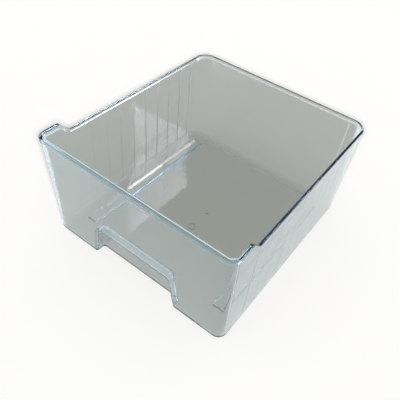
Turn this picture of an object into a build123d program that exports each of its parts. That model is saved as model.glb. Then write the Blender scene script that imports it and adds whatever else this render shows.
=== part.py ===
"""Clear fridge drawer, moulded in one piece.

Millimetres, +Z up, the front with the finger grip towards -Y. The origin is at the centre of the
footprint, on the shelf that the drawer stands on. The whole moulding is shaped first. It is then cut
face to face into the regions that a person would name: the floor, four walls and the finger grip.
"""

import os
from math import cos, radians, sin, tan

from build123d import *

# Footprint, measured outside at the underside of the floor
floor_width = 259.0
floor_depth = 286.0

# Height of the side and back rims above the shelf, and how far the front stands above them
side_height = 136.5
front_rise = 14.5

# How far the walls lean outwards as they rise, in degrees from upright
side_draft = 0.4
front_lean = 3.2
back_lean = 4.0

# Outside corner radii, seen from above
front_corner_radius = 10.5
back_corner_radius = 16.5

# Material thickness
wall = 2.2
floor_thickness = 2.4
bottom_edge_radius = 1.8
inner_floor_radius = 1.2

# Rim bead along the top edge of every wall
rim_overhang = 1.2
rim_drop = 5.0
front_rim_drop = 6.5
front_rim_inward = 1.6
rim_edge_radius = 0.5

# The raised front runs round the corners, then slopes down to the side rims
raised_length = 31.0
step_slope = 44.0
step_radius = 3.0

# Fine upright ribs inside the side and back walls
rib_pitch = 24.3
rib_width = 1.2
rib_height = 0.5
first_side_rib = 43.2

# Finger grip: a recess in the foot of the front wall, open to the front and below
grip_width_low = 121.5
grip_width_high = 105.0
grip_depth = 13.0
grip_height = 48.5
grip_corner_radius = 5.0
grip_back_radius = 4.0
grip_lip_radius = 3.6

# Hollow runners pressed down from the floor, which the drawer slides on
runner_depth = 2.5
runner_width = 16.6
runner_centre = 102.9
runner_front_gap = 32.5
runner_back_gap = 22.5
runner_corner_radius = 3.0
runner_slope = 1.6

# Low cross rib on the floor, between the back ends of the runners
cross_rib_width = 1.4
cross_rib_height = 0.5
cross_rib_gap = 16.5

# Clearance kept round the grip and the corners where the moulding is cut into regions
cut_margin = 2.0

# Construction: how far tools reach past the drawer, and how near an edge must be to be picked
beyond = 40.0
near = 1.0

# Sizes that follow
front_height = side_height + front_rise
step_run = front_rise / tan(radians(step_slope))
floor_under = runner_depth
floor_top = floor_under + floor_thickness
wall_foot = floor_top + inner_floor_radius
front_top_lean = (front_height - floor_under) * tan(radians(front_lean))
back_top_lean = (side_height - floor_under) * tan(radians(back_lean))
front_y = (front_top_lean - back_top_lean - floor_depth) / 2
back_y = front_y + floor_depth
rim_front_y = front_y - front_top_lean - rim_overhang
grip_back_y = front_y + grip_depth
runner_length = floor_depth - runner_front_gap - runner_back_gap
before_back = back_y - back_corner_radius - cut_margin
runner_mid_y = front_y + runner_front_gap + runner_length / 2


def wall_lines(z, inset):
    """Where the front, the back and the right side stand at height z, drawn in by inset."""
    rise = z - floor_under
    front = front_y - rise * tan(radians(front_lean)) + inset
    back = back_y + rise * tan(radians(back_lean)) - inset
    side = floor_width / 2 + rise * tan(radians(side_draft)) - inset
    return front, back, side


def long_bar(plane, outline, reach):
    """A bar square to a plane, reaching to both sides of it, with the given outline seen end on."""
    with BuildSketch(plane) as end_view:
        with BuildLine():
            Polyline(*outline, close=True)
        make_face()
    return extrude(end_view.sketch, amount=reach, both=True)


def basin(bottom, top, inset):
    """A solid block inside the drawer's leaning walls, between two heights, with rounded upright edges."""
    front_low, back_low, side_low = wall_lines(bottom, inset)
    front_high, back_high, side_high = wall_lines(top, inset)
    side_view = (front_low, bottom), (back_low, bottom), (back_high, top), (front_high, top)
    front_view = (-side_low, bottom), (side_low, bottom), (side_high, top), (-side_high, top)
    block = long_bar(Plane.YZ, side_view, floor_width) & long_bar(Plane.XZ, front_view, floor_depth)
    middle = (bottom + top) / 2
    for pair, radius in ((slice(0, 2), front_corner_radius), (slice(-2, None), back_corner_radius)):
        upright = block.edges().filter_by_position(Axis.Z, middle - near, middle + near)
        block = fillet(upright.sort_by(Axis.Y)[pair], radius - inset)
    return block


def under_rim_line(drop):
    """All the space below the line of the rim, lowered by drop."""
    raised_end = rim_front_y + raised_length
    step_foot = raised_end + step_run
    with BuildSketch(Plane.YZ) as side_view:
        with BuildLine():
            Polyline(
                (rim_front_y - beyond, front_height - drop),
                (raised_end, front_height - drop),
                (step_foot, side_height - drop),
                (back_y + beyond, side_height - drop),
                (back_y + beyond, -beyond),
                (rim_front_y - beyond, -beyond),
                close=True,
            )
        make_face()
        corners = side_view.vertices().filter_by_position(Axis.Y, raised_end - near, step_foot + near)
        fillet(corners, step_radius)
    return extrude(side_view.sketch, amount=floor_width, both=True)


def rim_bead():
    """The bead along the top edge, thicker and deeper round the raised front."""
    outside = basin(floor_under, front_height, -rim_overhang)
    side_bead = outside - basin(floor_under, front_height + near, wall)
    side_bead = side_bead & (under_rim_line(0) - under_rim_line(rim_drop))
    front_bead = outside - basin(floor_under, front_height + near, wall + front_rim_inward)
    front_bead = front_bead & (under_rim_line(0) - under_rim_line(front_rim_drop))
    front_zone = Pos(0, rim_front_y + raised_length / 2, front_height / 2) * Box(
        2 * floor_width, raised_length + step_run, 2 * front_height
    )
    return side_bead + (front_bead & front_zone)


def upright_rib(lean, turn):
    """One fine rib: a bar on a wall's inner face, from the wall's foot to the rim, leaning as the wall does."""
    length = (side_height - rim_drop - wall_foot) / cos(radians(lean))
    bar = Box(rib_width, rib_height + wall / 2, length, align=(Align.CENTER, Align.MIN, Align.MIN))
    return Rot(0, 0, turn) * Rot(-lean, 0, 0) * Pos(0, -rib_height, 0) * bar


def side_ribs():
    """The ribs inside the left wall, from behind the raised front to the back corner."""
    foot_x = -floor_width / 2 - (wall_foot - floor_under) * tan(radians(side_draft)) + wall
    rib = upright_rib(side_draft, 90)
    first_y = front_y + first_side_rib
    count = int((before_back - rib_width - first_y) // rib_pitch) + 1
    return [Pos(foot_x, first_y + number * rib_pitch, wall_foot) * rib for number in range(count)]


def back_ribs():
    """The ribs inside the back wall, spread evenly about its middle, between the corners."""
    foot_y = back_y + (wall_foot - floor_under) * tan(radians(back_lean)) - wall
    rib = upright_rib(back_lean, 0)
    half_flat = floor_width / 2 - back_corner_radius
    count = 2 * int((half_flat + rib_pitch / 2) // rib_pitch)
    middle = (count - 1) / 2
    return [Pos((number - middle) * rib_pitch, foot_y, wall_foot) * rib for number in range(count)]


def front_wall_plane(inset):
    """The leaning plane of the front wall, drawn in by inset: its Y axis runs up the wall."""
    lean = radians(front_lean)
    foot = (0, front_y + inset, floor_under)
    return Plane(origin=foot, x_dir=(1, 0, 0), z_dir=(0, -cos(lean), -sin(lean)))


def grip_block(grow):
    """The straight space of the finger recess, square to the front wall, grown all round by grow."""
    side_slope = (grip_width_low - grip_width_high) / (2 * grip_height)
    top = grip_height + grow
    half_top = grip_width_high / 2 + grow
    half_low = half_top + side_slope * (top + beyond)
    with BuildSketch(front_wall_plane(0)) as view:
        with BuildLine():
            Polyline((-half_low, -beyond), (-half_top, top), (half_top, top), (half_low, -beyond), close=True)
        make_face()
        fillet(view.vertices().group_by(Axis.Z)[-1], grip_corner_radius + grow)
    block = extrude(view.sketch, amount=-grip_depth - grow) + extrude(view.sketch, amount=beyond)
    back_face = block.faces().sort_by(Axis.Y)[-1]
    back_edges = [edge for edge in back_face.edges() if edge.center().Z > -beyond / 2]
    return fillet(back_edges, grip_back_radius + grow)


def grip_form(grow, mouth_radius):
    """The recess with its mouth flared where the wall turns in, from the wall's face inwards."""
    width = grip_width_low + 2 * beyond
    height = 2 * (grip_height + beyond)
    block_of_wall = Box(width, height, grip_depth + beyond, align=(Align.CENTER, Align.CENTER, Align.MAX))
    block_of_wall = front_wall_plane(grow).location * block_of_wall
    around = block_of_wall - grip_block(grow)
    face = around.faces().sort_by(Axis.Y)[0]
    outline_top = floor_under + grip_height + grow + grip_corner_radius
    mouth = [edge for edge in face.edges() if -beyond < edge.center().Z < outline_top]
    mouth = [edge for edge in mouth if abs(edge.center().X) < (grip_width_low + beyond) / 2]
    return block_of_wall - fillet(mouth, mouth_radius)


def runner_block(z_low, grow):
    """The two runners, as blocks with sloped sides, between z_low and the floor."""
    blocks = Part()
    for side in (-1, 1):
        with BuildSketch(Plane.XY.offset(floor_top)) as wide:
            with Locations((side * runner_centre, runner_mid_y)):
                RectangleRounded(
                    runner_width + 2 * grow, runner_length + 2 * grow, runner_corner_radius + grow
                )
        with BuildSketch(Plane.XY.offset(z_low)) as narrow:
            with Locations((side * runner_centre, runner_mid_y)):
                RectangleRounded(
                    runner_width + 2 * grow - 2 * runner_slope,
                    runner_length + 2 * grow - 2 * runner_slope,
                    runner_corner_radius + grow,
                )
        blocks += loft([wide.sketch.face(), narrow.sketch.face()], ruled=True)
    return blocks


def cross_rib():
    """The low rib across the floor, behind which the floor runs out to the back wall."""
    y = back_y - cross_rib_gap
    length = 2 * runner_centre - runner_width
    return Pos(0, y, floor_top + cross_rib_height / 2) * Box(length, cross_rib_width, cross_rib_height)


def moulding():
    """The whole drawer as the mould makes it, but for the fine ribs of its walls."""
    shell = basin(floor_under, front_height, 0)
    shell = fillet(shell.edges().group_by(Axis.Z)[0], bottom_edge_radius)
    cavity = basin(floor_top, front_height + near, wall)
    cavity = fillet(cavity.edges().group_by(Axis.Z)[0], inner_floor_radius)
    shell = (shell - cavity) & under_rim_line(0)
    shell += grip_form(wall, grip_lip_radius - wall) & basin(floor_under, front_height, wall / 2)
    shell += rim_bead()
    shell += cross_rib()
    shell += runner_block(0, 0)
    shell -= runner_block(floor_thickness, -wall)
    return round_rim(shell - grip_form(0, grip_lip_radius))


def round_rim(shell):
    """Rounds both edges of the rim's top, all the way round."""
    top_faces = [face for face in shell.faces() if face.center().Z > side_height - near]
    top_faces = [face for face in top_faces if face.normal_at(face.center()).Z > 0.5]
    outlines = [edge for face in top_faces for edge in face.edges()]
    border = [edge for edge in outlines if sum(edge.is_same(other) for other in outlines) == 1]
    return fillet(border, rim_edge_radius)


def within(body, low, high):
    """The part of a body inside the box between two corners."""
    size = [b - a for a, b in zip(low, high)]
    middle = [(a + b) / 2 for a, b in zip(low, high)]
    return body & (Pos(*middle) * Box(*size))


def regions(drawer):
    """The moulding cut face to face: the floor, the finger grip and the four walls."""
    side = floor_width
    front = front_y - beyond
    back = back_y + beyond
    high = front_height + beyond
    behind_grip = grip_back_y + wall + cut_margin
    grip_side = grip_width_low / 2 + wall + grip_lip_radius + cut_margin
    over_grip = floor_under + grip_height + wall + grip_lip_radius + cut_margin
    front_box = ((-side, front, wall_foot), (side, behind_grip, high))
    grip_box = ((-grip_side, front, wall_foot), (grip_side, behind_grip, over_grip))
    back_box = ((-side, before_back, wall_foot), (side, back, high))
    left_box = ((-side, behind_grip, wall_foot), (0, before_back, high))
    floor_box = ((-side, front, 0), (side, back, wall_foot))
    front_part = within(drawer, *front_box)
    finger_grip = within(front_part, *grip_box)
    left_wall = within(within(drawer, *left_box).fuse(*side_ribs()), *left_box)
    return {
        "floor": within(drawer, *floor_box),
        "finger_grip": finger_grip,
        "front_wall": front_part - finger_grip,
        "back_wall": within(within(drawer, *back_box).fuse(*back_ribs()), *back_box),
        "side_wall_left": left_wall,
        "side_wall_right": mirror(left_wall, about=Plane.YZ),
    }


def main():
    os.makedirs("parts", exist_ok=True)
    for name, solid in regions(moulding()).items():
        export_step(solid, f"parts/{name}.step")
        print(f"{name}: {solid.volume / 1000:.1f} cm3")


if __name__ == "__main__":
    main()
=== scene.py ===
"""The clear fridge drawer as its photograph shows it: one seamless moulding on a pale floor."""

from math import atan2, cos, pi, radians, sin, tan

import bmesh
import bpy
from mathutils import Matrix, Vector


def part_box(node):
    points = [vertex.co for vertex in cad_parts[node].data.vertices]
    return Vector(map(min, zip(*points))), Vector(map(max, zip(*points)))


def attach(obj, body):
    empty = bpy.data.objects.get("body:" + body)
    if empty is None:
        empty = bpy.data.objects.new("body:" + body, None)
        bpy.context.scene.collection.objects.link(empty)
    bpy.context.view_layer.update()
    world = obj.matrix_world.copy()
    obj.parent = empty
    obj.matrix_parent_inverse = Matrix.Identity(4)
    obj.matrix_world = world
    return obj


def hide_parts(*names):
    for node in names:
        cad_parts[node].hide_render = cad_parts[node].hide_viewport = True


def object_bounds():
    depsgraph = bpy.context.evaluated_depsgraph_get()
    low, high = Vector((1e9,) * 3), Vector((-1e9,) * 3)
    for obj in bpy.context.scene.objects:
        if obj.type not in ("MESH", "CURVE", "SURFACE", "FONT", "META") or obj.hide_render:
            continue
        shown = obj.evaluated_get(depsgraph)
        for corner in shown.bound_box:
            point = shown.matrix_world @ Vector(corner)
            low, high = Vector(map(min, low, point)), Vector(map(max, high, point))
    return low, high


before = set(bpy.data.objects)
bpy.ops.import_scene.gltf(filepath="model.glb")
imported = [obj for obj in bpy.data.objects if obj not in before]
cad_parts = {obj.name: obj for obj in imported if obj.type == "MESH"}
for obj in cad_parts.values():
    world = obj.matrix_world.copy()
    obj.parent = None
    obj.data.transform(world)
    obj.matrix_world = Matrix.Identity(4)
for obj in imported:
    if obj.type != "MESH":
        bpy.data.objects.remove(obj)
cad_low, cad_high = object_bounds()

mm = 0.001

# ---------------------------------------------------------------- sizes of the moulding, in mm
_, back_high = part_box("back_wall")
side_height = back_high.z / mm
front_height = cad_high.z / mm
floor_under = 2.5
floor_thickness = 2.4
floor_top = floor_under + floor_thickness
floor_width = 259.0
floor_depth = 286.0
side_draft, front_lean, back_lean = radians(0.4), radians(3.2), radians(4.0)
front_radius_low, front_radius_high = 11.0, 10.0
back_radius_low, back_radius_high = 14.0, 19.0
wall = 2.2
bottom_radius = 1.8
inner_radius = 1.2

# The rim hangs over outside, is deeper along the raised front, and is thicker inwards there
rim_overhang = 1.2
rim_drop = 5.0
front_rim_drop = 6.5
front_rim_inward = 1.6
rim_radius = 1.3
ledge_radius = 0.4
# The thicker rim's underside inside: shares of its reach inwards, and of the ledge's radius up or down
rim_underside = ((0.92, 0.3), (0.7, 0.0), (0.3, -0.2), (0.08, -0.5))

# The raised front runs back along the sides, then slopes down to the side rims
raised_length = 31.0
step_slope = radians(44.0)
step_radius = 3.0

# Fine upright ribs inside the side walls and the back wall
rib_pitch = 24.3
rib_half_width = 1.0
rib_height = 0.3
first_side_rib = 43.2
rib_end = 1.0

# The finger recess in the foot of the front wall
grip_width_low = 121.5
grip_width_high = 105.0
grip_depth = 13.0
grip_height = 48.5
grip_corner = 5.0
grip_back = 4.0
grip_lip = 3.6

# The hollow runners under the floor, and the channels in them, whose tilt is in degrees from level
runner_width = 16.6
runner_centre = 102.9
runner_front_gap = 32.5
runner_back_gap = 22.5
runner_corner = 3.0
runner_slope = 1.6
runner_edge = 0.8
channel_inset = 1.0
channel_edge = 1.2
channel_tilt = 35.0

# The cross rib and the two marks on the floor: each begins inside the floor, so that it joins it
sunk_depth = 0.8
cross_rib_gap = 16.5
cross_rib_width = 1.4
cross_rib_rounding = ((0.0, 0.0), (0.15, 0.3), (0.4, 0.47), (0.6, 0.5))
gate_x, gate_y = 4.0, 0.0
gate_radius = 2.2
gate_height = 0.6
gate_rounding = ((0.4, 0.8), (1.0, 1.0))
ring_x, ring_y = 4.0, -34.0
ring_radius = 5.5
ring_width = 1.1
ring_height = 0.5
ring_draft = 0.2
ring_floor_rise = 0.05

least_corner = 0.4
merge_distance = 0.01 * mm
crisp_angle = radians(28)

rise_to_front = front_height - floor_under
front_y = cad_low.y / mm + rim_overhang + rise_to_front * tan(front_lean)
back_y = front_y + floor_depth
raised_end = front_y - rise_to_front * tan(front_lean) - rim_overhang + raised_length
step_run = (front_height - side_height) / tan(step_slope)
step_foot = raised_end + step_run


# ---------------------------------------------------------------- mesh helpers
def new_object(name, mesh_data):
    """An object in the scene for a bmesh that was drawn in millimetres."""
    bmesh.ops.scale(mesh_data, vec=(mm, mm, mm), verts=mesh_data.verts)
    mesh = bpy.data.meshes.new(name)
    mesh_data.to_mesh(mesh)
    mesh_data.free()
    piece = bpy.data.objects.new(name, mesh)
    bpy.context.scene.collection.objects.link(piece)
    return piece


def closed_rings(name, rings):
    """A closed body through rings of points, with flat caps on the first and the last."""
    body = bmesh.new()
    rows = [[body.verts.new(point) for point in ring] for ring in rings]
    count = len(rings[0])
    for row, following in zip(rows, rows[1:]):
        for k in range(count):
            after = (k + 1) % count
            body.faces.new((row[k], row[after], following[after], following[k]))
    body.faces.new(rows[0][::-1])
    body.faces.new(rows[-1])
    bmesh.ops.recalc_face_normals(body, faces=body.faces)
    return new_object(name, body)


def combine(body, tool, operation):
    """Joins or cuts body with tool, and takes the tool away."""
    step = body.modifiers.new(operation.lower(), "BOOLEAN")
    step.object = tool
    step.operation = operation
    step.solver = "EXACT"
    ready = body.evaluated_get(bpy.context.evaluated_depsgraph_get())
    mesh = bpy.data.meshes.new_from_object(ready)
    body.modifiers.clear()
    old = body.data
    body.data = mesh
    bpy.data.meshes.remove(old)
    bpy.data.objects.remove(tool)


def arc(centre, radius, start, end, steps):
    """Points of an arc between two angles in degrees."""
    angles = [radians(start + (end - start) * k / steps) for k in range(steps + 1)]
    return [(centre[0] + radius * cos(a), centre[1] + radius * sin(a)) for a in angles]


def smooth(value, low, high):
    """0 below low, 1 above high, and smooth between them."""
    t = min(max((value - low) / (high - low), 0.0), 1.0)
    return t * t * (3 - 2 * t)


# ---------------------------------------------------------------- the shell with its rim and ribs
def blend(low, high, z):
    """A value that runs evenly from the floor's underside to the top of the front."""
    return low + (high - low) * (z - floor_under) / rise_to_front


def front_at(z, inset):
    """How far forward the leaning front wall stands at a height, drawn in by inset."""
    return front_y - (z - floor_under) * tan(front_lean) + inset


def back_at(z, inset):
    """How far back the leaning back wall stands at a height, drawn in by inset."""
    return back_y + (z - floor_under) * tan(back_lean) - inset


def side_at(z, inset):
    """How far out a side wall stands at a height, drawn in by inset."""
    return floor_width / 2 + (z - floor_under) * tan(side_draft) - inset


def rim_line(y):
    """Height of the rim over the place y: raised at the front, then down a rounded step."""
    reach = step_radius * tan(step_slope / 2)
    ends = reach * cos(step_slope)
    slope_y = min(max(y, raised_end + ends), step_foot - ends)
    height = front_height - (slope_y - raised_end) * tan(step_slope)
    if y < raised_end - reach:
        height = front_height
    elif y < raised_end + ends:
        across = y - raised_end + reach
        height = front_height - step_radius + (step_radius**2 - across**2) ** 0.5
    elif y > step_foot + reach:
        height = side_height
    elif y > step_foot - ends:
        across = step_foot + reach - y
        height = side_height + step_radius - (step_radius**2 - across**2) ** 0.5
    return height


def stations():
    """Places round the drawer: a point for an inset and a height, the rim's height, the rib's swell."""
    rib_ys = []
    y = front_y + first_side_rib
    while y < back_y - back_radius_low - 2 * rib_half_width:
        rib_ys.append(y)
        y += rib_pitch
    step_count = 24
    start = raised_end - step_radius
    end = step_foot + step_radius
    side_ys = [(start + (end - start) * k / step_count, 0.0) for k in range(step_count + 1)]
    rib_steps = 8
    swell = [rib_half_width * (2 * k / rib_steps - 1) for k in range(rib_steps + 1)]
    for y in rib_ys:
        side_ys += [(y + s, (1 + cos(pi * s / rib_half_width)) / 2) for s in swell]

    half_flat = floor_width / 2 - back_radius_low - 2 * rib_half_width
    ribs_each_side = int(half_flat / rib_pitch + 0.5)
    rib_xs = [(k + 0.5) * rib_pitch for k in range(-ribs_each_side, ribs_each_side)]
    back_xs = [(x + s, (1 + cos(pi * s / rib_half_width)) / 2) for x in rib_xs for s in swell]

    def on_side(sign, y, bump):
        return lambda inset, z: (sign * side_at(z, inset), y), rim_line(y), bump

    def on_back(x, bump):
        return lambda inset, z: (x, back_at(z, inset)), side_height, bump

    def corner(sign_x, front, angle):
        def point(inset, z):
            if front:
                radius = blend(front_radius_low, front_radius_high, z) - inset
                middle_y = front_at(z, inset) + radius
            else:
                radius = blend(back_radius_low, back_radius_high, z) - inset
                middle_y = back_at(z, inset) - radius
            middle_x = sign_x * (side_at(z, inset) - radius)
            return middle_x + radius * cos(radians(angle)), middle_y + radius * sin(radians(angle))

        return point, front_height if front else side_height, 0.0

    corner_steps = 16
    turns = [90 * k / corner_steps for k in range(corner_steps + 1)]
    places = [corner(1, True, -90 + turn) for turn in turns]
    places += [on_side(1, y, bump) for y, bump in side_ys]
    places += [corner(1, False, turn) for turn in turns]
    places += [on_back(x, bump) for x, bump in reversed(back_xs)]
    places += [corner(-1, False, 90 + turn) for turn in turns]
    places += [on_side(-1, y, bump) for y, bump in reversed(side_ys)]
    places += [corner(-1, True, 180 + turn) for turn in turns]
    return places


def section(rim_height, bump):
    """One place's section, as (inset, height) from under the floor, over the rim, to the floor's top."""
    raised = smooth(rim_height, side_height, front_height)
    drop = rim_drop + (front_rim_drop - rim_drop) * raised
    inward = front_rim_inward * raised
    ledge = rim_height - drop
    inside = wall + inward
    edge = ledge_radius
    shoulder = rim_height - rim_radius
    points = arc((bottom_radius, floor_under + bottom_radius), bottom_radius, 270, 180, steps=6)
    points += arc((-edge, ledge - edge), edge, 0, 90, steps=3)
    points += arc((-rim_overhang + edge, ledge + edge), edge, 270, 180, steps=3)
    points += arc((-rim_overhang + rim_radius, shoulder), rim_radius, 180, 90, steps=6)
    points += arc((inside - rim_radius, shoulder), rim_radius, 90, 0, steps=6)
    points += [(inside, ledge + edge)]
    points += [(wall + inward * share, ledge + edge * lift) for share, lift in rim_underside]
    points += [(wall, ledge - edge)]
    rib = rib_height * bump
    rib_top = ledge - 2 * edge
    points += [(wall, rib_top), (wall + rib / 2, rib_top - rib_end / 2), (wall + rib, rib_top - rib_end)]
    foot = floor_top + inner_radius
    points += [(wall + rib, foot + rib_end), (wall + rib / 2, foot + rib_end / 2)]
    points += arc((wall + inner_radius, foot), inner_radius, 180, 270, steps=5)
    return points


def shell():
    """The open box: floor, four leaning walls, rim and fine ribs, as one closed body."""
    around = [
        [(*point(inset, z), z) for inset, z in section(rim_height, bump)]
        for point, rim_height, bump in stations()
    ]
    rings = [list(ring) for ring in zip(*around)]
    return closed_rings("drawer_moulding", rings)


# ---------------------------------------------------------------- the finger grip
def grip_ring(offset, depth, foot):
    """The grip's outline in the front wall's plane, grown by offset, at a depth behind the wall's face."""
    slope = (grip_width_low - grip_width_high) / (2 * grip_height)
    tilt = atan2(slope, 1)
    half_top = grip_width_high / 2 + offset
    top = grip_height + offset
    radius = max(grip_corner + offset, least_corner)
    turn = pi / 2 - tilt
    steps = 12
    reach = radius * tan(turn / 2)
    middle = (half_top - reach, top - radius)
    right = [(half_top + slope * (top - foot), foot)]
    angles = [tilt + turn * k / steps for k in range(steps + 1)]
    right += [(middle[0] + radius * cos(a), middle[1] + radius * sin(a)) for a in angles]
    outline = right + [(-x, v) for x, v in reversed(right)]
    lean = front_lean
    return [
        (x, front_y - v * sin(lean) + depth * cos(lean), floor_under + v * cos(lean) + depth * sin(lean))
        for x, v in outline
    ]


def grip_body(name, profile, foot):
    """A body through the grip's outline at each (offset, depth) of a profile."""
    return closed_rings(name, [grip_ring(offset, depth, foot) for offset, depth in profile])


def add_grip(body):
    """Sets the grip's box on the back of the front wall and cuts the recess, with its flared mouth."""
    # Angles at which the arcs begin or end, a few degrees short of level
    root_start, mouth_start, back_end = 262, 265, 85
    fillet = grip_lip - wall
    depth = grip_depth + wall
    back = grip_back + wall
    root = arc((wall + fillet, wall + fillet), fillet, root_start, 180, steps=5)
    skin = [(root[0][0], wall / 2)] + root
    skin += arc((wall - back, depth - back), back, 0, back_end, steps=8)
    combine(body, grip_body("grip_skin", skin, foot=wall), "UNION")
    far = 30.0
    mouth = arc((grip_lip, grip_lip), grip_lip, mouth_start, 180, steps=8)
    recess = [(mouth[0][0], -far)] + mouth
    recess += arc((-grip_back, grip_depth - grip_back), grip_back, 0, 90, steps=8)
    combine(body, grip_body("grip_recess", recess, foot=-far), "DIFFERENCE")


# ---------------------------------------------------------------- runners, cross rib and floor marks
def runner_ring(side, inset, z, middle_y, length):
    """One runner's rounded outline at a height, drawn in by inset."""
    half_x = runner_width / 2 - inset
    half_y = length / 2 - inset
    radius = max(runner_corner - inset, least_corner)
    ring = []
    for quarter, (sx, sy) in enumerate(((1, 1), (-1, 1), (-1, -1), (1, -1))):
        middle = (side * runner_centre + sx * (half_x - radius), middle_y + sy * (half_y - radius))
        ring += [(x, y, z) for x, y in arc(middle, radius, 90 * quarter, 90 * quarter + 90, steps=6)]
    return ring


def add_runners(body):
    """Presses the two hollow runners down from the floor."""
    # The foot's edge begins at the sloping side, and the channel's brim a few degrees short of level
    foot_start, brim_start = 210, 84
    length = floor_depth - runner_front_gap - runner_back_gap
    middle_y = front_y + runner_front_gap + length / 2
    tilt = radians(channel_tilt)
    side_run = (floor_under - 2 * channel_edge * (1 - cos(tilt))) / tan(tilt)
    foot_inset = channel_inset + 2 * channel_edge * sin(tilt) + side_run
    tool_top = floor_top + 3.0
    outer = [(0.0, floor_under + floor_thickness / 2), (0.0, floor_under)]
    outer += arc((runner_slope + runner_edge, runner_edge), runner_edge, foot_start, 270, steps=4)
    brim_middle = (channel_inset, floor_top - channel_edge)
    brim = arc(brim_middle, channel_edge, brim_start, 90 - channel_tilt, steps=4)
    foot_middle = (foot_inset, floor_thickness + channel_edge)
    inner = [(brim[0][0], tool_top)] + brim
    inner += arc(foot_middle, channel_edge, 270 - channel_tilt, 270, steps=4)
    for side in (-1, 1):
        for name, profile, operation in (("outer", outer, "UNION"), ("inner", inner, "DIFFERENCE")):
            rings = [runner_ring(side, inset, z, middle_y, length) for inset, z in profile]
            combine(body, closed_rings(f"runner_{name}", rings), operation)


def add_cross_rib(body):
    """The low rounded rib across the floor, in front of the back wall."""
    y = back_y - cross_rib_gap
    half_length = runner_centre - runner_width / 2
    rings = []
    for inset, rise in ((0.0, -sunk_depth), *cross_rib_rounding):
        dx, dy = half_length - inset, cross_rib_width / 2 - inset
        z = floor_top + rise
        rings.append([(-dx, y - dy, z), (dx, y - dy, z), (dx, y + dy, z), (-dx, y + dy, z)])
    combine(body, closed_rings("cross_rib", rings), "UNION")


def disc(name, x, y, profile):
    """A round body through circles of a profile of (radius, height)."""
    sides = 24
    last_angle = 360 - 360 / sides
    rings = []
    for radius, z in profile:
        rings.append([(u, v, z) for u, v in arc((x, y), radius, 0, last_angle, steps=sides - 1)])
    return closed_rings(name, rings)


def add_gate_mark(body):
    """The low disc that the gate leaves in the middle of the floor."""
    profile = [(gate_radius, floor_top - sunk_depth), (gate_radius, floor_top)]
    for inwards, upwards in gate_rounding:
        profile.append((gate_radius - gate_height * inwards, floor_top + gate_height * upwards))
    combine(body, disc("gate_mark", gate_x, gate_y, profile), "UNION")


def add_ring_mark(body):
    """A plain moulded ring in front of the gate mark."""
    top = floor_top + ring_height
    raised = [(ring_radius, floor_top - sunk_depth), (ring_radius, floor_top)]
    raised += [(ring_radius - ring_draft, top)]
    combine(body, disc("ring_outer", ring_x, ring_y, raised), "UNION")
    inside = ring_radius - ring_width
    tool_top = top + 1.0
    hollow = [(inside, floor_top + ring_floor_rise), (inside + 2 * ring_draft, tool_top)]
    combine(body, disc("ring_inner", ring_x, ring_y, hollow), "DIFFERENCE")


def moulding():
    """The whole drawer, seamless, with smooth faces and crisp edges."""
    body = shell()
    add_grip(body)
    add_runners(body)
    add_cross_rib(body)
    add_gate_mark(body)
    add_ring_mark(body)
    cleaned = bmesh.new()
    cleaned.from_mesh(body.data)
    bmesh.ops.remove_doubles(cleaned, verts=cleaned.verts, dist=merge_distance)
    cleaned.to_mesh(body.data)
    cleaned.free()
    body.data.shade_smooth()
    body.data.set_sharp_from_angle(angle=crisp_angle)
    weights = body.modifiers.new("flat_faces", "WEIGHTED_NORMAL")
    weights.keep_sharp = True
    return body


# ---------------------------------------------------------------- materials
# Lower than polystyrene's 1.59, which mirrors more of the white floor in the walls
refraction = 1.45
smoothest, roughest = 0.012, 0.04
absorbed_tint = (0.63, 0.845, 0.935, 1)
absorption_density = 115.0
floor_tone = 0.98


def clear_plastic():
    """Clear plastic with a faint sky-blue body colour that deepens along its edges."""
    material = bpy.data.materials.new("clear_polystyrene")
    material.use_nodes = True
    nodes, links = material.node_tree.nodes, material.node_tree.links
    shader = nodes["Principled BSDF"]
    shader.inputs["Base Color"].default_value = (1, 1, 1, 1)
    shader.inputs["Transmission Weight"].default_value = 1.0
    shader.inputs["IOR"].default_value = refraction
    place = nodes.new("ShaderNodeTexCoord")
    flow = nodes.new("ShaderNodeTexNoise")
    flow.inputs["Scale"].default_value = 14.0
    flow.inputs["Detail"].default_value = 2.0
    gloss = nodes.new("ShaderNodeMapRange")
    gloss.inputs["To Min"].default_value = smoothest
    gloss.inputs["To Max"].default_value = roughest
    wave = nodes.new("ShaderNodeBump")
    wave.inputs["Strength"].default_value = 0.02
    wave.inputs["Distance"].default_value = 0.002
    links.new(place.outputs["Object"], flow.inputs["Vector"])
    links.new(flow.outputs["Fac"], gloss.inputs["Value"])
    links.new(gloss.outputs["Result"], shader.inputs["Roughness"])
    links.new(flow.outputs["Fac"], wave.inputs["Height"])
    links.new(wave.outputs["Normal"], shader.inputs["Normal"])
    body_colour = nodes.new("ShaderNodeVolumeAbsorption")
    body_colour.inputs["Color"].default_value = absorbed_tint
    body_colour.inputs["Density"].default_value = absorption_density
    links.new(body_colour.outputs["Volume"], nodes["Material Output"].inputs["Volume"])
    return material


def pale_floor():
    """A matt white floor without gloss."""
    material = bpy.data.materials.new("pale_floor")
    material.use_nodes = True
    shader = material.node_tree.nodes["Principled BSDF"]
    shader.inputs["Base Color"].default_value = (floor_tone, floor_tone, floor_tone, 1)
    shader.inputs["Roughness"].default_value = 1.0
    shader.inputs["Specular IOR Level"].default_value = 0.0
    return material


# ---------------------------------------------------------------- stage, lamps and camera
camera_place = Vector((0.2301, -0.3768, 0.4679))
camera_turn = (radians(44.735), radians(-4.901), radians(37.427))
camera_lens = 41.66

# What fill and key each add on a level white floor, where 1 is white. The sky is dimmer overhead
# and adds half its strength, so that all three together bring the floor to about white.
fill_light = 0.34
key_light = 0.55
world_light = 0.33
fill_colour = (1.0, 0.98, 0.845)
key_colour = (0.94, 0.945, 1.0)
# The key is evened out down to this sine of the angle at which its light meets the floor
flattest_fall = 0.07

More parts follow.
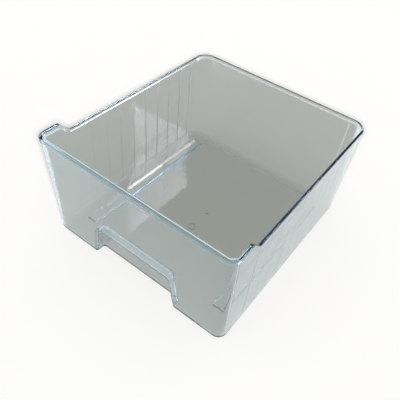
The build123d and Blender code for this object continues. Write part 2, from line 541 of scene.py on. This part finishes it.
# The sky's tone falls from the horizon to the ceiling, between two sines of the height angle
horizon_tone, ceiling_tone = 0.95, 0.43
fall_begins, fall_ends = 0.15, 0.55

# The window, in metres, at the place worked out from its reflections in the photograph
window_place = Vector((0.655, 1.0, 1.6))
window_width, window_height = 0.41, 1.6
window_light = 18.0
window_colour = (1.0, 0.9, 0.98)

# How far the floor reaches from its middle to each edge, and how far it lies under the runners
floor_reach = 6.0
floor_drop = 0.1 * mm


def add_floor():
    """A wide floor that lies a hair under the runners, so that no two faces share one plane."""
    sheet = bmesh.new()
    bmesh.ops.create_grid(sheet, x_segments=1, y_segments=1, size=floor_reach / mm)
    floor = new_object("studio_floor", sheet)
    floor.location.z = -floor_drop
    floor.data.materials.append(pale_floor())


def add_world():
    """A pale sky where the camera sees it, also mirrored and through the plastic, and dimmer as light."""
    world = bpy.data.worlds.new("studio")
    bpy.context.scene.world = world
    world.use_nodes = True
    nodes, links = world.node_tree.nodes, world.node_tree.links
    background = nodes["Background"]
    direction = nodes.new("ShaderNodeTexCoord")
    parts = nodes.new("ShaderNodeSeparateXYZ")
    links.new(direction.outputs["Generated"], parts.inputs["Vector"])
    height = nodes.new("ShaderNodeMapRange")
    height.interpolation_type = "SMOOTHSTEP"
    height.inputs["From Min"].default_value = fall_begins
    height.inputs["From Max"].default_value = fall_ends
    height.inputs["To Min"].default_value = horizon_tone
    height.inputs["To Max"].default_value = ceiling_tone
    links.new(parts.outputs["Z"], height.inputs["Value"])
    links.new(height.outputs["Result"], background.inputs["Color"])
    rays = nodes.new("ShaderNodeLightPath")
    seen = nodes.new("ShaderNodeMath")
    seen.operation = "MAXIMUM"
    links.new(rays.outputs["Is Camera Ray"], seen.inputs[0])
    links.new(rays.outputs["Is Glossy Ray"], seen.inputs[1])
    shown = nodes.new("ShaderNodeMath")
    shown.operation = "MAXIMUM"
    links.new(seen.outputs[0], shown.inputs[0])
    links.new(rays.outputs["Is Transmission Ray"], shown.inputs[1])
    strength = nodes.new("ShaderNodeMapRange")
    strength.inputs["To Min"].default_value = world_light
    strength.inputs["To Max"].default_value = 1.0
    links.new(shown.outputs[0], strength.inputs["Value"])
    links.new(strength.outputs["Result"], background.inputs["Strength"])


def add_lamp(name, kind):
    """A lamp of a kind, linked into the scene."""
    data = bpy.data.lights.new(name, kind)
    lamp = bpy.data.objects.new(name, data)
    bpy.context.scene.collection.objects.link(lamp)
    return lamp


def add_fill():
    """Even light from above without shadow, which also reaches the floor under the clear plastic."""
    lamp = add_lamp("fill", "SUN")
    # A sun of strength pi lights a level white floor to 1
    lamp.data.energy = fill_light * pi
    lamp.data.use_shadow = False
    lamp.data.color = fill_colour
    lamp.visible_glossy = False
    lamp.visible_transmission = False


def add_key():
    """A flash at the camera, evened out over the floor, so that the drawer's shadow lies behind it."""
    lamp = add_lamp("key", "POINT")
    lamp.location = camera_place
    lamp.data.color = key_colour
    lamp.data.shadow_soft_size = 0.02
    lamp.data.use_nodes = True
    nodes, links = lamp.data.node_tree.nodes, lamp.data.node_tree.links
    emission = nodes["Emission"]
    falloff = nodes.new("ShaderNodeLightFalloff")
    falloff.inputs["Strength"].default_value = 1.0
    place = nodes.new("ShaderNodeTexCoord")
    parts = nodes.new("ShaderNodeSeparateXYZ")
    links.new(place.outputs["Normal"], parts.inputs["Vector"])
    steep = nodes.new("ShaderNodeMath")
    steep.operation = "ABSOLUTE"
    links.new(parts.outputs["Z"], steep.inputs[0])
    kept = nodes.new("ShaderNodeMath")
    kept.operation = "MAXIMUM"
    kept.inputs[1].default_value = flattest_fall
    links.new(steep.outputs[0], kept.inputs[0])
    even = nodes.new("ShaderNodeMath")
    even.operation = "DIVIDE"
    links.new(falloff.outputs["Constant"], even.inputs[0])
    links.new(kept.outputs[0], even.inputs[1])
    links.new(even.outputs[0], emission.inputs["Strength"])
    # Without falloff, a point lamp of 4 pi squared lights a white face to 1 where it meets it squarely
    lamp.data.energy = key_light * 4 * pi * pi
    lamp.visible_glossy = False
    lamp.visible_transmission = False


def add_window():
    """A window behind the drawer on the right, which shows only in and through the plastic."""
    lamp = add_lamp("window", "AREA")
    lamp.data.shape = "RECTANGLE"
    lamp.data.size = window_width
    lamp.data.size_y = window_height
    lamp.location = window_place
    lamp.rotation_euler = (radians(-90), 0, 0)
    lamp.data.energy = window_light * pi * window_width * window_height
    lamp.data.color = window_colour
    lamp.visible_camera = False
    lamp.visible_diffuse = False


def add_camera():
    """The photograph's camera, as solved from the drawer's outline."""
    data = bpy.data.cameras.new("camera")
    data.sensor_width = 36
    data.lens = camera_lens
    camera = bpy.data.objects.new("camera", data)
    camera.location = camera_place
    camera.rotation_euler = camera_turn
    bpy.context.scene.collection.objects.link(camera)
    bpy.context.scene.camera = camera


drawer = moulding()
drawer.data.materials.clear()
drawer.data.materials.append(clear_plastic())
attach(drawer, "root")
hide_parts("floor", "finger_grip", "front_wall", "back_wall", "side_wall_left", "side_wall_right")

add_floor()
add_world()
add_fill()
add_key()
add_window()
add_camera()

scene = bpy.context.scene
scene.view_settings.view_transform = "Standard"
scene.cycles.max_bounces = 32
scene.cycles.transmission_bounces = 32
scene.cycles.glossy_bounces = 16
scene.cycles.caustics_refractive = False
scene.cycles.caustics_reflective = False
